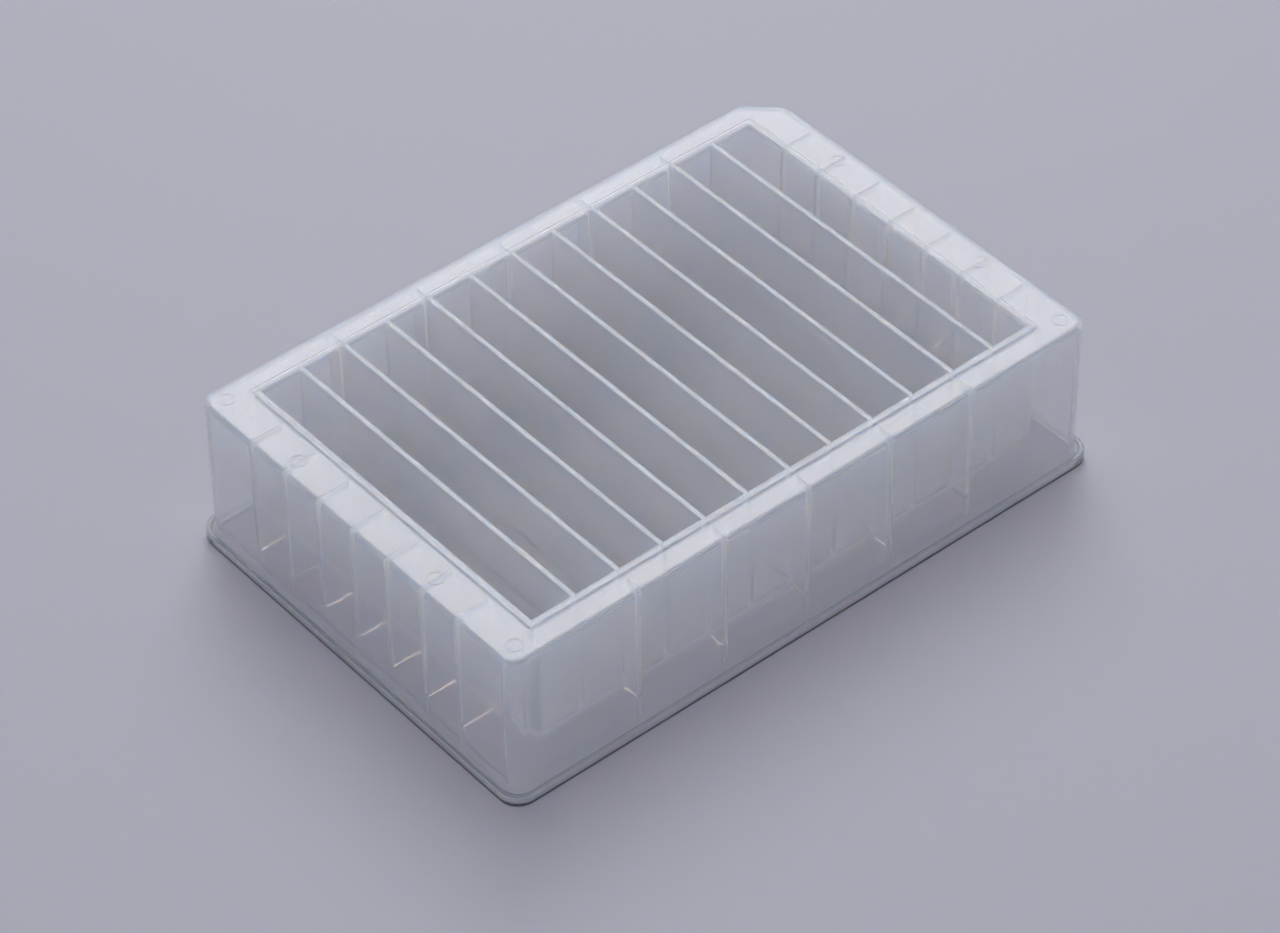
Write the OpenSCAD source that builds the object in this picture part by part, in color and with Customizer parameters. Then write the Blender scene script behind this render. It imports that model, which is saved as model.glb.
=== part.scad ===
// Reagent reservoir: a row of open troughs in a standard plate footprint, moulded in one piece.
// X runs along the row of troughs, Y along each trough and Z up.
// The origin is at the middle of the footprint, on the surface that the reservoir stands on.

/* [Footprint] */
// Length of the base flange
base_l = 127.76; // [125:0.01:160]
// Width of the base flange
base_w = 85.48; // [83:0.01:110]
// Radius of the flange's corners
flange_r = 3.8; // [1:0.1:6]
// Height of the flange's upright face
flange_h = 2.2; // [1.5:0.1:4]
// Width of the ledge between the flange's face and the skirt
ledge_w = 1.45; // [1.3:0.05:2.5]
// Radius of the cove where the skirt rises from the ledge
cove_r = 0.9; // [0.3:0.1:1.2]
// Height of the flange's straight foot, below the flare inside it
foot_h = 0.8; // [0.4:0.1:1.4]

/* [Skirt] */
// Thickness of the skirt
skirt_t = 1.2; // [0.8:0.1:1.8]
// Radius of the skirt's upright corners, outside
skirt_r = 3; // [2.4:0.1:6]
// Draft of the skirt below its parting line, in degrees
lower_draft = 0.2; // [0:0.1:1]
// Draft of the skirt above its parting line, in degrees
upper_draft = 0.4; // [0:0.1:1]
// Chamfer of the key corner, along each side between the centres of its rounded ends
key_cut = 4.2; // [1:0.1:8]
// Height of the parting line round the skirt
parting_z = 19.5; // [8:0.1:27]
// How far each seam line stands out from the skirt
seam_out = 0.1; // [0.05:0.01:0.2]
// Height of each seam line's ridge
seam_h = 0.5; // [0.3:0.1:1]

/* [Rim] */
// Height of the rim's top face
rim_z = 31; // [28:0.1:60]
// Thickness of the rim
rim_t = 1.4; // [0.8:0.1:2.5]
// Radius of the rim's outer edge
rim_edge_r = 0.8; // [0.3:0.1:1.2]
// Width of the raised lip round the troughs
lip_w = 1.2; // [0.6:0.1:2]
// Height of the raised lip above the rim
lip_h = 0.4; // [0.2:0.1:1]

/* [Troughs] */
// How many troughs there are
trough_count = 12; // [4:2:12]
// Distance from one trough to the next
pitch = 9; // [5:0.1:9.3]
// Length of each trough at its top
trough_l = 71; // [50:0.1:73]
// Thickness of the dividers at their top
divider_t = 0.9; // [0.6:0.1:1.6]
// Draft of the troughs' sides and of the basin, in degrees
trough_draft = 0.5; // [0.2:0.1:1]
// Radius of the fillet round each trough's floor
floor_fillet_r = 1.2; // [0.4:0.1:2]

/* [Basin] */
// Thickness of the walls round the row of troughs
basin_t = 1.4; // [0.8:0.1:2]
// Thickness of the floor under the troughs
floor_t = 1.2; // [0.8:0.1:2.5]
// Height of the basin's underside
underside_z = 5.1; // [3.5:0.1:12]
// Radius of the basin's upright corners, outside
basin_r = 2.2; // [2.2:0.1:5]
// Radius of the basin's lower edge
basin_edge_r = 0.9; // [0.3:0.1:0.9]

/* [Ribs] */
// Thickness of the ribs where they meet the rim
rib_t = 1.5; // [0.8:0.1:2.2]
// Draft of the ribs' sides, in degrees
rib_draft = 0.4; // [0:0.1:1]
// Height of the ribs' lower edge above the basin's underside
rib_rise = 1.4; // [0.8:0.1:6]
// Distance from one rib to the next along the short sides
end_rib_pitch = 9; // [6:0.5:24]
// Width of the low ribs on the skirt's inner face
low_rib_w = 1.1; // [0.6:0.1:2]
// How far the low ribs stand out from the skirt
low_rib_out = 0.3; // [0.2:0.1:0.8]

/* [Ejector marks] */
// Diameter of the ring that each ejector pin leaves in the rim
pin_d = 3; // [2:0.1:4.5]
// Width of that ring
pin_ring_w = 0.25; // [0.15:0.05:0.5]
// Depth of that ring
pin_ring_depth = 0.12; // [0.05:0.01:0.3]
// Distance from the skirt's outer face to the middle of each mark
pin_inset = 3.6; // [3:0.1:4.5]

/* [Hidden] */
$fn = 36;

// Polypropylene left uncoloured.
natural_plastic = [0.84, 0.85, 0.88, 0.8];
// How far a cutting shape runs past the face that it opens.
past = 1;
// How far the axis of the key corner's face lies inside it, along X and along Y.
key_axis_in = 100;
// How far that face stands inside its rounded ends where they meet, and how far it laps them.
key_ease = 0.02;
key_lap = 0.15;
// A rib stands under every second divider, so that it backs a wall and not a trough.
dividers_per_rib = 2;
// The short sides' middle ribs have no low rib below them.
bare_end_ribs = 1;

top_z = rim_z + lip_h;
rim_under_z = rim_z - rim_t;
rim_mid_z = rim_z - rim_t / 2;
floor_z = underside_z + floor_t;
rib_z = underside_z + rib_rise;
opening = [trough_count * pitch - divider_t, trough_l];

// The skirt is a half section carried round, measured from the centres of its corners.
draft_z = flange_h + cove_r;
skirt_half = [base_l / 2 - ledge_w, base_w / 2 - ledge_w];
flare_z = foot_h + ledge_w;
skirt_inner_r = skirt_r - skirt_t;

rib_pitch = dividers_per_rib * pitch;
ribs_each_way = floor((opening.x / 2 - basin_t) / rib_pitch);
end_ribs_each_way = floor((opening.y / 2 - basin_t) / end_rib_pitch);

// How far the skirt's outer face lies from its corners' centres at a height.
function skirt_r_at(z) =
    skirt_r
    - max(min(z, parting_z) - draft_z, 0) * tan(lower_draft)
    - max(z - parting_z, 0) * tan(upper_draft);

// A filled block: a half section carried along each side and turned round each corner.
// A cut chamfers the +X +Y corner between two rounded ends.
module carried_block(half, r, low, high, cut = 0) {
    x = half.x - r;
    y = half.y - r;
    sides = [
        [[x, -y], [x, y - cut]],
        [[x - cut, y], [-x, y]],
        [[-x, y], [-x, -y]],
        [[-x, -y], [x, -y]]
    ];
    for (i = [0 : 3]) {
        end = sides[i][1];
        next = sides[(i + 1) % 4][0];
        translate(end)
            rotate([90, 0, i * 90])
                linear_extrude(norm(end - sides[i][0]))
                    children();
        for (centre = end == next ? [end] : [end, next])
            translate(centre)
                rotate_extrude(angle = 90, start = i * 90)
                    children();
    }
    if (cut > 0)
        key_face([x, y] - [cut, cut] / 2, cut, low, high)
            children();
    translate([0, 0, low])
        linear_extrude(high - low)
            polygon([for (side = sides) each side]);
}

// The chamfer's face, turned about a far axis so that it is flat to a few hundredths of a millimetre.
module key_face(middle, cut, low, high) {
    half_turn = atan((cut / sqrt(2) + key_lap) / (key_axis_in * sqrt(2)));
    translate(middle - [key_axis_in, key_axis_in])
        rotate_extrude(angle = 2 * half_turn, start = 45 - half_turn)
            translate([key_axis_in * sqrt(2) - key_ease, 0]) {
                children();
                translate([-past, low])
                    square([2 * past, high - low]);
            }
}

// The points of a fine ridge in the skirt's outline, where two parts of the mould meet.
function seam_points(z) = [
    [skirt_r_at(z - seam_h / 2), z - seam_h / 2],
    [skirt_r_at(z) + seam_out, z],
    [skirt_r_at(z + seam_h / 2), z + seam_h / 2]
];

// The skirt's outer half section, from its cove up to its rounded edge.
module skirt_section() {
    edge_z = rim_z - rim_edge_r;
    edge_x = skirt_r_at(edge_z);
    polygon([
        [0, 0],
        [skirt_r, 0],
        [skirt_r, draft_z],
        each seam_points(parting_z),
        each seam_points(edge_z - seam_h / 2),
        [edge_x - rim_edge_r, rim_z],
        [0, rim_z]
    ]);
    translate([edge_x - rim_edge_r, edge_z])
        circle(rim_edge_r);
    difference() {
        translate([0, flange_h / 2])
            square([skirt_r + cove_r, cove_r + flange_h / 2]);
        translate([skirt_r + cove_r, draft_z])
            circle(cove_r);
    }
}

// The hollow inside the skirt, flared at its foot so that the flange keeps the wall's thickness.
module hollow_section() {
    polygon([
        [0, -past],
        [skirt_inner_r + ledge_w, -past],
        [skirt_inner_r + ledge_w, foot_h],
        [skirt_inner_r, flare_z],
        [skirt_r_at(rim_under_z) - skirt_t, rim_under_z],
        [0, rim_under_z]
    ]);
}

// The base flange, the skirt and the rim over its hollow.
module skirt() {
    difference() {
        union() {
            carried_block(skirt_half, skirt_r, 0, rim_z, key_cut)
                skirt_section();
            carried_block([base_l, base_w] / 2, flange_r, 0, flange_h)
                square([flange_r, flange_h]);
        }
        carried_block(skirt_half, skirt_r, -past, rim_under_z, key_cut)
            hollow_section();
    }
}

// The basin's outer half section, drafted as the troughs are and rounded at its lower edge.
module basin_section() {
    edge_z = underside_z + basin_edge_r;
    edge_x = basin_r - (top_z - edge_z) * tan(trough_draft);
    polygon([
        [0, underside_z],
        [edge_x - basin_edge_r, underside_z],
        [edge_x, edge_z],
        [basin_r - (top_z - rim_mid_z) * tan(trough_draft), rim_mid_z],
        [0, rim_mid_z]
    ]);
    translate([edge_x - basin_edge_r, edge_z])
        circle(basin_edge_r);
}

// The basin before its troughs are cut, with the lip that stands above the rim.
module basin_block() {
    basin_half = [opening.x / 2 + basin_t, opening.y / 2 + basin_t];
    carried_block(basin_half, basin_r, underside_z, rim_mid_z)
        basin_section();
    translate([-opening.x / 2 - lip_w, -opening.y / 2 - lip_w, rim_mid_z])
        cube([opening.x + 2 * lip_w, opening.y + 2 * lip_w, top_z - rim_mid_z]);
}

// A trough's section across a width, filleted at the floor and open past the top.
module trough_section(width) {
    depth = top_z - floor_z;
    lean = tan(trough_draft);
    floor_half = width / 2 - depth * lean;
    setback = floor_fillet_r / tan(45 + trough_draft / 2);
    side = [setback * sin(trough_draft), setback * cos(trough_draft)];
    polygon([
        [floor_half - setback, 0],
        [floor_half + side.x, side.y],
        [floor_half + (depth + past) * lean, depth + past],
        [-floor_half - (depth + past) * lean, depth + past],
        [-floor_half - side.x, side.y],
        [-floor_half + setback, 0]
    ]);
    for (way = [-1, 1])
        translate([way * (floor_half - setback), floor_fillet_r])
            circle(floor_fillet_r);
}

// One trough: where its cross section and its long section meet.
module trough_cut() {
    width = pitch - divider_t;
    translate([0, 0, floor_z])
        intersection() {
            rotate([90, 0, 0])
                linear_extrude(trough_l + 2 * past, center = true)
                    trough_section(width);
            rotate([90, 0, 90])
                linear_extrude(width + 2 * past, center = true)
                    trough_section(trough_l);
        }
}

module troughs() {
    for (i = [0 : trough_count - 1])
        translate([(i - (trough_count - 1) / 2) * pitch, 0, 0])
            trough_cut();
}

// A rib from the basin out to the skirt, on +X, thicker at the rim than at its lower edge.
module rib(basin_x, skirt_x) {
    half_low = rib_t / 2 - (rim_under_z - rib_z) * tan(rib_draft);
    half_high = rib_t / 2 + (rim_mid_z - rim_under_z) * tan(rib_draft);
    translate([basin_x + basin_t / 2, 0, 0])
        rotate([90, 0, 90])
            linear_extrude(skirt_x - skirt_t / 2 - basin_x - basin_t / 2)
                polygon([
                    [-half_low, rib_z],
                    [half_low, rib_z],
                    [half_high, rim_mid_z],
                    [-half_high, rim_mid_z]
                ]);
}

// A low rib on the skirt's inner face, from the flare up to the rib above it.
module low_rib(skirt_x) {
    translate([skirt_x - skirt_t - low_rib_out, -low_rib_w / 2, flare_z])
        cube([low_rib_out + skirt_t / 2, low_rib_w, rib_z - flare_z]);
}

// The ribs between the basin and the skirt, on all four sides.
module ribs() {
    for (way = [-1, 1]) {
        for (k = [-ribs_each_way : ribs_each_way])
            translate([k * rib_pitch, 0, 0])
                rotate(way * 90) {
                    rib(opening.y / 2, skirt_half.y);
                    low_rib(skirt_half.y);
                }
        for (k = [-end_ribs_each_way : end_ribs_each_way])
            rotate(90 - way * 90)
                translate([0, k * end_rib_pitch, 0]) {
                    rib(opening.x / 2, skirt_half.x);
                    if (abs(k) > bare_end_ribs)
                        low_rib(skirt_half.x);
                }
    }
}

// The ring that one ejector pin leaves in the rim.
module pin_ring() {
    translate([0, 0, rim_z - pin_ring_depth])
        difference() {
            cylinder(d = pin_d, h = past);
            cylinder(d = pin_d - 2 * pin_ring_w, h = past);
        }
}

// Ejector marks at the three square corners and over two ribs of each short side.
module ejector_marks() {
    at = [skirt_half.x - pin_inset, skirt_half.y - pin_inset];
    rib_y = (end_ribs_each_way - bare_end_ribs) * end_rib_pitch;
    for (spot = [[-at.x, at.y], [at.x, -at.y], [-at.x, -at.y]])
        translate(spot)
            pin_ring();
    for (x = [-at.x, at.x], y = [-rib_y, rib_y])
        translate([x, y, 0])
            pin_ring();
}

// The whole moulding.
module reservoir() {
    color(natural_plastic)
        difference() {
            union() {
                skirt();
                basin_block();
                ribs();
            }
            troughs();
            ejector_marks();
        }
}

reservoir();
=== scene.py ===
"""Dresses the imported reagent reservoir: the finish of its plastic, a studio floor, light and camera.

Every length is in metres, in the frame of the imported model: X runs along the row of troughs,
Y along each trough and Z up, with the origin at the middle of the footprint.
"""

import logging
import math
from dataclasses import dataclass, field
from enum import Enum

import bmesh
import bpy
from mathutils import Matrix, Vector

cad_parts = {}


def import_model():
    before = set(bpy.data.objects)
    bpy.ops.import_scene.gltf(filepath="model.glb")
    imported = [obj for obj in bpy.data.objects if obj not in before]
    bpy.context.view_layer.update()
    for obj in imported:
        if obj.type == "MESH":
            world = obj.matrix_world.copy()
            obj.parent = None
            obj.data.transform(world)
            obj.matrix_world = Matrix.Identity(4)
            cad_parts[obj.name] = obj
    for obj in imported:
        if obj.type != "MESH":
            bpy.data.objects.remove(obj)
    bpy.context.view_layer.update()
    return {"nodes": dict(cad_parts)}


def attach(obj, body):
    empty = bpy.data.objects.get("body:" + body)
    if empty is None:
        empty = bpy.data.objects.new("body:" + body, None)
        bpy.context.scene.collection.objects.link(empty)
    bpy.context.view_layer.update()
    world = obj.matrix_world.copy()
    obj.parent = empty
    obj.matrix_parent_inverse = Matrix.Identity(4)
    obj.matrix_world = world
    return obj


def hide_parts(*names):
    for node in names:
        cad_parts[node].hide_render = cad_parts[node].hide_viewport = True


LOG = logging.getLogger("reservoir")
BODY = "root"
NODE = "reservoir"
MM = 0.001


class Edge(Enum):
    """The kinds of edge that the mould leaves rounded."""

    FLANGE = "flange"
    FOOT = "foot"
    MOUTH = "trough mouth, lip or rib"


def new_group(name: str, inputs: dict[str, float], outputs: dict[str, str]) -> bpy.types.NodeTree:
    """Starts a shader node group with number inputs.

    Args:
        name: The group's name.
        inputs: The default of each number input, by name.
        outputs: The socket type of each output, by name.

    Returns:
        The group, with its input and output nodes placed.
    """
    group = bpy.data.node_groups.new(name, "ShaderNodeTree")
    for label, default in inputs.items():
        socket = group.interface.new_socket(label, in_out="INPUT", socket_type="NodeSocketFloat")
        socket.default_value = default
    for label, kind in outputs.items():
        group.interface.new_socket(label, in_out="OUTPUT", socket_type=kind)
    group.nodes.new("NodeGroupInput").name = "in"
    group.nodes.new("NodeGroupOutput").name = "out"
    return group


@dataclass(frozen=True)
class MouldGrain:
    """The fine grain that a spark-eroded mould leaves, as a node group.

    Its Height output is meant for a Bump node, and its Roughness output varies about its input.

    Attributes:
        name: The group's name.
        grain_detail: Layers of noise in the grain.
        grain_contrast: How strong each finer layer of the grain is.
        patch_scale: Fineness of the patches where the roughness varies, in cycles a metre.
        patch_detail: Layers of noise in those patches.
        middle: The noise's middle value, about which the roughness varies.
    """

    name: str = "mould grain"
    grain_detail: float = 1.0
    grain_contrast: float = 0.6
    patch_scale: float = 90.0
    patch_detail: float = 2.0
    middle: float = 0.5

    def group(self) -> bpy.types.NodeTree:
        """Builds the group once and returns it."""
        made = bpy.data.node_groups.get(self.name)
        if made:
            return made
        made = new_group(
            self.name,
            {"Grain Scale": 4000.0, "Roughness": 0.4, "Spread": 0.1},
            {"Height": "NodeSocketFloat", "Roughness": "NodeSocketFloat"},
        )
        nodes, links = made.nodes, made.links
        place = nodes.new("ShaderNodeTexCoord")
        grain = nodes.new("ShaderNodeTexNoise")
        grain.inputs["Detail"].default_value = self.grain_detail
        grain.inputs["Roughness"].default_value = self.grain_contrast
        patches = nodes.new("ShaderNodeTexNoise")
        patches.inputs["Scale"].default_value = self.patch_scale
        patches.inputs["Detail"].default_value = self.patch_detail
        spread = nodes.new("ShaderNodeMath")
        spread.operation = "MULTIPLY_ADD"
        centre = nodes.new("ShaderNodeMath")
        centre.operation = "SUBTRACT"
        centre.inputs[1].default_value = self.middle
        links.new(place.outputs["Object"], grain.inputs["Vector"])
        links.new(place.outputs["Object"], patches.inputs["Vector"])
        links.new(nodes["in"].outputs["Grain Scale"], grain.inputs["Scale"])
        links.new(patches.outputs["Fac"], centre.inputs[0])
        links.new(centre.outputs[0], spread.inputs[0])
        links.new(nodes["in"].outputs["Spread"], spread.inputs[1])
        links.new(nodes["in"].outputs["Roughness"], spread.inputs[2])
        links.new(grain.outputs["Fac"], nodes["out"].inputs["Height"])
        links.new(spread.outputs[0], nodes["out"].inputs["Roughness"])
        return made


@dataclass(frozen=True)
class Clouding:
    """The faint, uneven milkiness of uncoloured plastic, as a node group with a Color output.

    Attributes:
        name: The group's name.
        detail: Layers of noise in the clouds.
        thin: Colour where the milkiness is least.
        thick: Colour where it is most.
    """

    name: str = "plastic clouding"
    detail: float = 1.0
    thin: tuple[float, float, float] = (0.95, 0.962, 0.998)
    thick: tuple[float, float, float] = (0.976, 0.984, 0.999)

    def group(self) -> bpy.types.NodeTree:
        """Builds the group once and returns it."""
        made = bpy.data.node_groups.get(self.name)
        if made:
            return made
        made = new_group(self.name, {"Scale": 35.0}, {"Color": "NodeSocketColor"})
        nodes, links = made.nodes, made.links
        place = nodes.new("ShaderNodeTexCoord")
        clouds = nodes.new("ShaderNodeTexNoise")
        clouds.inputs["Detail"].default_value = self.detail
        tone = nodes.new("ShaderNodeMix")
        tone.data_type = "RGBA"
        tone.inputs["A"].default_value = (*self.thin, 1.0)
        tone.inputs["B"].default_value = (*self.thick, 1.0)
        links.new(place.outputs["Object"], clouds.inputs["Vector"])
        links.new(nodes["in"].outputs["Scale"], clouds.inputs["Scale"])
        links.new(clouds.outputs["Fac"], tone.inputs["Factor"])
        links.new(tone.outputs["Result"], nodes["out"].inputs["Color"])
        return made


@dataclass(frozen=True)
class SkirtMask:
    """Tells the grained part of the moulding from the polished part, as a node group.

    Its Satin output is 1 on the rim and on the skirt above the parting line, where the mould is
    grained, and 0 on the skirt below it and inside the troughs, where the mould is polished.

    Attributes:
        name: The group's name.
        parting: Height of the parting line.
        rim: Height above which everything is grained.
        inner: Distances from the middle, along X and Y, past which a point is on the skirt.
        blur: Width over which grained turns to polished.
    """

    name: str = "grained part of the mould"
    parting: float = 19.5 * MM
    rim: float = 30.2 * MM
    inner: tuple[float, float] = (61.7 * MM, 40.6 * MM)
    blur: float = 0.3 * MM

    def group(self) -> bpy.types.NodeTree:
        """Builds the group once and returns it."""
        made = bpy.data.node_groups.get(self.name)
        if made:
            return made
        made = new_group(self.name, {}, {"Satin": "NodeSocketFloat"})
        nodes, links = made.nodes, made.links
        place = nodes.new("ShaderNodeTexCoord")
        parts = nodes.new("ShaderNodeSeparateXYZ")
        links.new(place.outputs["Object"], parts.inputs[0])

        def maths(kind: str, *values: bpy.types.NodeSocket | float) -> bpy.types.NodeSocket:
            """Adds a Math node and returns its output."""
            node = nodes.new("ShaderNodeMath")
            node.operation = kind
            for socket, value in zip(node.inputs, values):
                if isinstance(value, float):
                    socket.default_value = value
                else:
                    links.new(value, socket)
            return node.outputs[0]

        def past(value: bpy.types.NodeSocket, limit: float) -> bpy.types.NodeSocket:
            """Adds a mask that rises from 0 to 1 as a value passes a limit."""
            ramp = nodes.new("ShaderNodeMapRange")
            ramp.interpolation_type = "SMOOTHSTEP"
            ramp.inputs["From Min"].default_value = limit - self.blur / 2
            ramp.inputs["From Max"].default_value = limit + self.blur / 2
            links.new(value, ramp.inputs["Value"])
            return ramp.outputs["Result"]

        outside = maths(
            "MAXIMUM",
            past(maths("ABSOLUTE", parts.outputs["X"]), self.inner[0]),
            past(maths("ABSOLUTE", parts.outputs["Y"]), self.inner[1]),
        )
        skirt = maths("MULTIPLY", outside, past(parts.outputs["Z"], self.parting))
        rim = past(parts.outputs["Z"], self.rim)
        links.new(maths("MAXIMUM", skirt, rim), nodes["out"].inputs["Satin"])
        return made


@dataclass(frozen=True)
class PlasticFinish:
    """Uncoloured polypropylene, grained on the rim and the upper skirt and polished elsewhere.

    Attributes:
        name: The material's name.
        satin: Roughness where the mould is grained.
        polished: Roughness where the mould is polished.
        spread: How far the roughness varies.
        grain: Fineness of the mould's grain, in cycles a metre.
        depth: Height of that grain, in metres.
        clear: Share of the light that enters as through frosted glass.
        haze: How much the plastic scatters, for each metre of it.
        haze_color: Scattering of each colour, most in blue as in any fine haze.
        ior: The plastic's refractive index.
        milk: Share of the light that enters the milky body rather than a plain surface.
        milk_radius: How far each colour spreads in it, as shares of milk_depth.
        milk_depth: How far light spreads in it, in metres.
    """

    name: str = "uncoloured polypropylene"
    satin: float = 0.24
    polished: float = 0.08
    spread: float = 0.03
    grain: float = 5000.0
    depth: float = 0.003 * MM
    clear: float = 0.96
    haze: float = 350.0
    haze_color: tuple[float, float, float] = (0.66, 0.80, 1.0)
    ior: float = 1.49
    milk: float = 1.0
    milk_radius: tuple[float, float, float] = (1.0, 0.85, 0.7)
    milk_depth: float = 1.2 * MM

    def material(self) -> bpy.types.Material:
        """Builds the material."""
        made = bpy.data.materials.new(self.name)
        made.use_nodes = True
        nodes, links = made.node_tree.nodes, made.node_tree.links
        shader = nodes["Principled BSDF"]
        shader.inputs["IOR"].default_value = self.ior
        shader.inputs["Transmission Weight"].default_value = self.clear
        shader.inputs["Subsurface Weight"].default_value = self.milk
        shader.inputs["Subsurface Radius"].default_value = self.milk_radius
        shader.inputs["Subsurface Scale"].default_value = self.milk_depth
        zone = nodes.new("ShaderNodeGroup")
        zone.node_tree = SkirtMask().group()
        rough = nodes.new("ShaderNodeMapRange")
        rough.inputs["To Min"].default_value = self.polished
        rough.inputs["To Max"].default_value = self.satin
        grain = nodes.new("ShaderNodeGroup")
        grain.node_tree = MouldGrain().group()
        grain.inputs["Grain Scale"].default_value = self.grain
        grain.inputs["Spread"].default_value = self.spread
        clouding = nodes.new("ShaderNodeGroup")
        clouding.node_tree = Clouding().group()
        bump = nodes.new("ShaderNodeBump")
        bump.inputs["Distance"].default_value = self.depth
        haze = nodes.new("ShaderNodeVolumeScatter")
        haze.inputs["Color"].default_value = (*self.haze_color, 1.0)
        haze.inputs["Density"].default_value = self.haze
        links.new(zone.outputs["Satin"], rough.inputs["Value"])
        links.new(zone.outputs["Satin"], bump.inputs["Strength"])
        links.new(rough.outputs["Result"], grain.inputs["Roughness"])
        links.new(grain.outputs["Height"], bump.inputs["Height"])
        links.new(bump.outputs["Normal"], shader.inputs["Normal"])
        links.new(grain.outputs["Roughness"], shader.inputs["Roughness"])
        links.new(clouding.outputs["Color"], shader.inputs["Base Color"])
        links.new(haze.outputs["Volume"], nodes["Material Output"].inputs["Volume"])
        return made


@dataclass
class Moulding:
    """The moulded reservoir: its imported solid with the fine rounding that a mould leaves.

    Attributes:
        finish: The plastic's finish.
        merge_gap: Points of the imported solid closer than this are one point.
        tidy_gap: Points closer than this after the rounding are one point.
        flat_angle: Faces that meet at less than this are one face.
        sharp_angle: Edges that turn by more than this are rounded.
        smooth_angle: Edges that turn by less than this are shaded as one surface.
        rounding: Rounding of each kind of edge.
        rounding_steps: Faces across each rounding.
        flange_top: Height of the flange.
        mark_level: Height of the rim, where the ejector marks' edges stay sharp.
        level: How far an edge or point may lie from the height that it is looked for at.
        seam_level: Height of the ridge along the skirt's parting line.
        seam_ease: How far that ridge's crest is worn back towards the skirt.
    """

    finish: PlasticFinish = field(default_factory=PlasticFinish)
    merge_gap: float = 0.001 * MM
    tidy_gap: float = 0.012 * MM
    flat_angle: float = math.radians(0.3)
    sharp_angle: float = math.radians(50.0)
    smooth_angle: float = math.radians(35.0)
    rounding: dict[Edge, float] = field(
        default_factory=lambda: {
            Edge.FLANGE: 0.2 * MM,
            Edge.FOOT: 0.12 * MM,
            Edge.MOUTH: 0.12 * MM,
        }
    )
    rounding_steps: int = 3
    flange_top: float = 2.2 * MM
    mark_level: float = 31.0 * MM
    level: float = 0.01 * MM
    seam_level: float = 19.5 * MM
    seam_ease: float = 0.08 * MM

    def at_height(self, edge: bmesh.types.BMEdge, height: float) -> bool:
        """Says whether an edge lies flat at a height.

        Args:
            edge: The edge.
            height: The height.

        Returns:
            True where both of its ends are within the level's tolerance.
        """
        return all(abs(end.co.z - height) < self.level for end in edge.verts)

    def kind(self, edge: bmesh.types.BMEdge) -> Edge | None:
        """Sorts an edge.

        Args:
            edge: The edge.

        Returns:
            Its kind, or None where it stays as it is.
        """
        turned = edge.is_manifold and edge.is_convex and edge.calc_face_angle() > self.sharp_angle
        if not turned or self.at_height(edge, self.mark_level):
            return None
        if self.at_height(edge, self.flange_top):
            return Edge.FLANGE
        if self.at_height(edge, 0.0):
            return Edge.FOOT
        return Edge.MOUTH

    def round_edges(self, shape: bmesh.types.BMesh) -> None:
        """Rounds every sharp outward edge by the amount that its kind has.

        Args:
            shape: The solid's merged mesh.
        """
        for kind, amount in self.rounding.items():
            edges = [edge for edge in shape.edges if self.kind(edge) is kind]
            bmesh.ops.bevel(
                shape,
                geom=edges,
                offset=amount,
                offset_type="OFFSET",
                segments=self.rounding_steps,
                profile=0.5,
                affect="EDGES",
                clamp_overlap=True,
                material=-1,
            )
            LOG.info("rounded %d edges: %s", len(edges), kind.value)
        bmesh.ops.remove_doubles(shape, verts=shape.verts, dist=self.tidy_gap)
        bmesh.ops.dissolve_degenerate(shape, dist=self.tidy_gap, edges=shape.edges)

    def ease_seam(self, shape: bmesh.types.BMesh) -> None:
        """Wears back the crest of the ridge along the parting line, as a polished mould leaves it.

        Args:
            shape: The solid's merged mesh.
        """
        shape.normal_update()
        crest = [
            point
            for point in shape.verts
            if abs(point.co.z - self.seam_level) < self.level
            and point.normal.xy.dot(point.co.xy) > 0.0
        ]
        for point in crest:
            point.co.xy -= point.normal.xy.normalized() * self.seam_ease
        LOG.info("eased %d points of the parting line", len(crest))

    def build(self, node: bpy.types.Object) -> bpy.types.Object:
        """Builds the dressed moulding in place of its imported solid.

        Args:
            node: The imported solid.

        Returns:
            The new piece.
        """
        shape = bmesh.new()
        shape.from_mesh(node.data)
        bmesh.ops.remove_doubles(shape, verts=shape.verts, dist=self.merge_gap)
        bmesh.ops.dissolve_limit(
            shape, angle_limit=self.flat_angle, verts=shape.verts, edges=shape.edges
        )
        self.ease_seam(shape)
        self.round_edges(shape)
        mesh = bpy.data.meshes.new("reservoir_moulding")
        shape.to_mesh(mesh)
        shape.free()
        if "custom_normal" in mesh.attributes:
            mesh.attributes.remove(mesh.attributes["custom_normal"])
        mesh.shade_smooth()
        mesh.set_sharp_from_angle(angle=self.smooth_angle)
        mesh.materials.clear()
        mesh.materials.append(self.finish.material())
        piece = bpy.data.objects.new("reservoir_moulding", mesh)
        bpy.context.scene.collection.objects.link(piece)
        weighting = piece.modifiers.new("even shading", "WEIGHTED_NORMAL")
        weighting.keep_sharp = True
        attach(piece, BODY)
        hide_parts(NODE)
        LOG.info("%s: %d faces, %s", piece.name, len(mesh.polygons), self.finish.name)
        return piece


@dataclass(frozen=True)
class Lamp:
    """A square, soft lamp.

    Attributes:
        name: Its name.
        place: Where it hangs.
        size: Length of its sides.
        power: Its power in watts.
    """

    name: str
    place: tuple[float, float, float]
    size: float
    power: float


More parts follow.
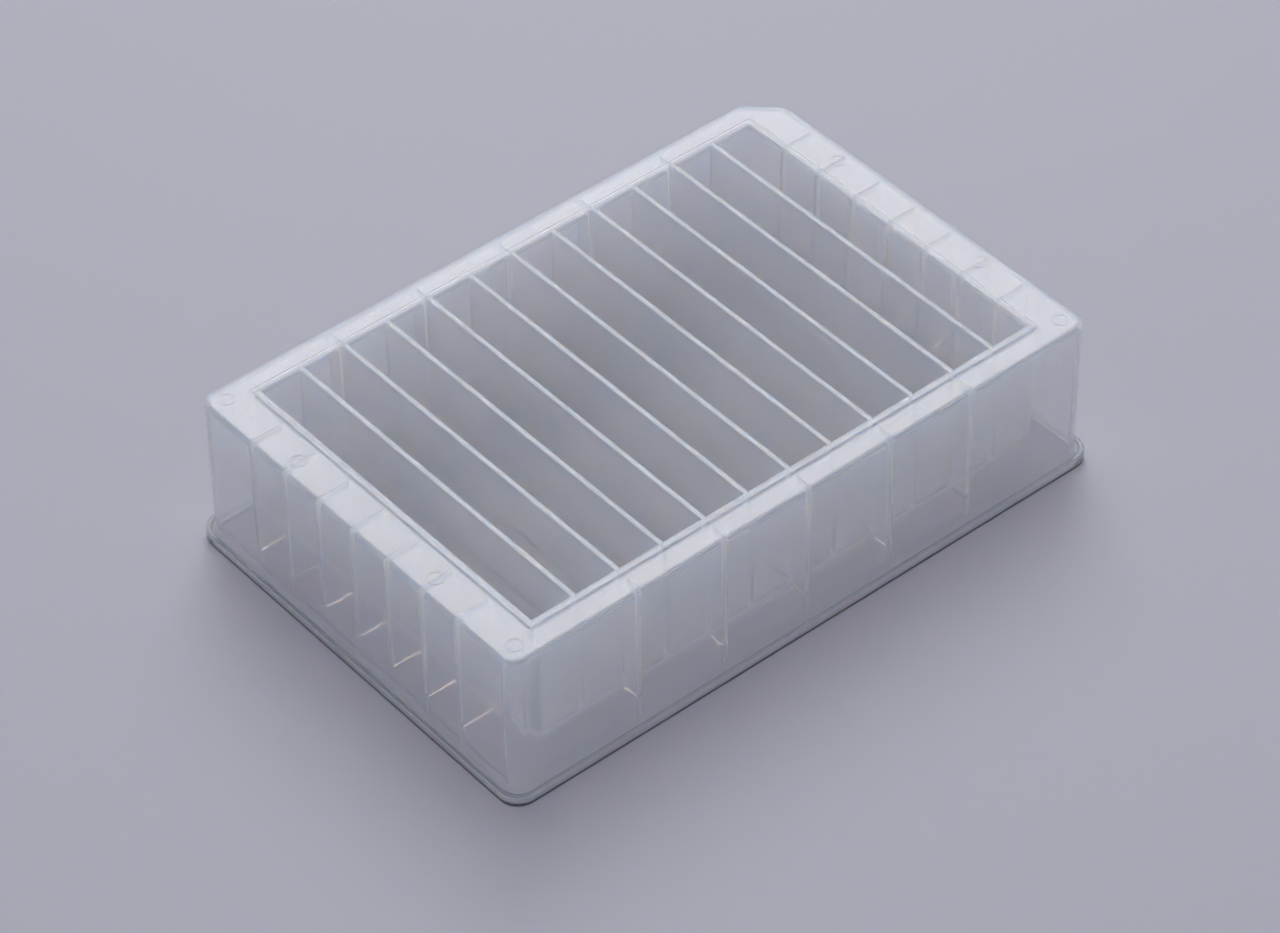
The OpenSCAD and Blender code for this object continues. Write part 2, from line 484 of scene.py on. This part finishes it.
@dataclass
class Studio:
    """The floor, the light and the camera round the reservoir.

    Attributes:
        floor_size: Length of the floor's sides.
        floor_color: The floor's colour.
        floor_roughness: The floor's roughness.
        world_color: Colour of the even light from all round.
        world_strength: Strength of that light.
        lamps: The lamps.
        target: The point that the view turns about.
        azimuth: Turn of the view about the vertical, in radians.
        elevation: How far the view looks down, in radians.
        roll: Turn of the frame about the line of sight, in radians.
        offset: Where the target lies in the camera's own frame: right, down and ahead.
        focal_length: In millimetres, on a sensor as wide as sensor_width.
        sensor_width: In millimetres.
        nearest: Nothing closer to the camera than this is seen.
        bounces: How often light may pass or turn inside the plastic, which its many walls need.
    """

    floor_size: float = 12.0
    floor_color: tuple[float, float, float] = (0.43, 0.425, 0.475)
    floor_roughness: float = 0.6
    world_color: tuple[float, float, float] = (0.875, 0.895, 1.0)
    world_strength: float = 0.58
    lamps: tuple[Lamp, ...] = (
        Lamp("behind", (0.5, 0.6, 0.8), 0.5, 3.1),
        Lamp("above", (0.2, 0.3, 1.03), 0.5, 2.5),
    )
    target: tuple[float, float, float] = (0.0, 0.0, 0.015)
    azimuth: float = math.radians(-39.53)
    elevation: float = math.radians(42.945)
    roll: float = math.radians(-0.849)
    offset: tuple[float, float, float] = (0.001271, -0.006105, 0.79315)
    focal_length: float = 132.39
    sensor_width: float = 36.0
    nearest: float = 0.01
    bounces: int = 32

    def camera(self) -> None:
        """Makes the camera and sets it as the scene's."""
        right = Vector((math.cos(self.azimuth), math.sin(self.azimuth), 0.0))
        level = math.cos(self.elevation)
        ahead = -Vector(
            (math.sin(self.azimuth) * level, -math.cos(self.azimuth) * level, math.sin(self.elevation))
        )
        down = -right.cross(ahead)
        turned_right = right * math.cos(self.roll) - down * math.sin(self.roll)
        turned_down = right * math.sin(self.roll) + down * math.cos(self.roll)
        place = (
            Vector(self.target)
            - turned_right * self.offset[0]
            - turned_down * self.offset[1]
            - ahead * self.offset[2]
        )
        lens = bpy.data.cameras.new("camera")
        lens.sensor_fit = "HORIZONTAL"
        lens.sensor_width = self.sensor_width
        lens.lens = self.focal_length
        lens.clip_start = self.nearest
        camera = bpy.data.objects.new("camera", lens)
        bpy.context.scene.collection.objects.link(camera)
        axes = Matrix((turned_right, -turned_down, -ahead)).transposed()
        camera.matrix_world = Matrix.Translation(place) @ axes.to_4x4()
        bpy.context.scene.camera = camera

    def floor(self) -> None:
        """Lays the pale floor."""
        mesh = bpy.data.meshes.new("floor")
        shape = bmesh.new()
        bmesh.ops.create_grid(shape, x_segments=1, y_segments=1, size=self.floor_size / 2)
        shape.to_mesh(mesh)
        shape.free()
        floor = bpy.data.objects.new("floor", mesh)
        bpy.context.scene.collection.objects.link(floor)
        material = bpy.data.materials.new("pale floor")
        material.use_nodes = True
        shader = material.node_tree.nodes["Principled BSDF"]
        shader.inputs["Base Color"].default_value = (*self.floor_color, 1.0)
        shader.inputs["Roughness"].default_value = self.floor_roughness
        mesh.materials.append(material)

    def hang(self, lamp: Lamp) -> None:
        """Hangs a lamp so that it faces the target.

        Args:
            lamp: The lamp.
        """
        light = bpy.data.lights.new(lamp.name, "AREA")
        light.shape = "SQUARE"
        light.size = lamp.size
        light.energy = lamp.power
        hung = bpy.data.objects.new(lamp.name, light)
        bpy.context.scene.collection.objects.link(hung)
        place = Vector(lamp.place)
        turn = (Vector(self.target) - place).to_track_quat("-Z", "Y")
        hung.matrix_world = Matrix.Translation(place) @ turn.to_matrix().to_4x4()

    def lights(self) -> None:
        """Sets the world's even light and hangs the lamps."""
        world = bpy.data.worlds.new("studio")
        world.use_nodes = True
        shade = world.node_tree.nodes["Background"]
        shade.inputs["Color"].default_value = (*self.world_color, 1.0)
        shade.inputs["Strength"].default_value = self.world_strength
        bpy.context.scene.world = world
        for lamp in self.lamps:
            self.hang(lamp)

    def build(self) -> None:
        """Builds all of the studio."""
        self.camera()
        self.floor()
        self.lights()
        scene = bpy.context.scene
        scene.view_settings.view_transform = "Standard"
        scene.cycles.max_bounces = self.bounces
        scene.cycles.glossy_bounces = self.bounces
        scene.cycles.transmission_bounces = self.bounces
        scene.cycles.volume_bounces = self.bounces
        scene.cycles.blur_glossy = 0.0
        scene.cycles.use_light_tree = False
        LOG.info("studio: floor, camera and lights")


def main() -> None:
    """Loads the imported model, dresses it and sets up the studio."""
    logging.basicConfig(level=logging.INFO, format="%(name)s: %(message)s")
    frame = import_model()
    Studio().build()
    Moulding().build(frame["nodes"][NODE])


if __name__ == "__main__":
    main()
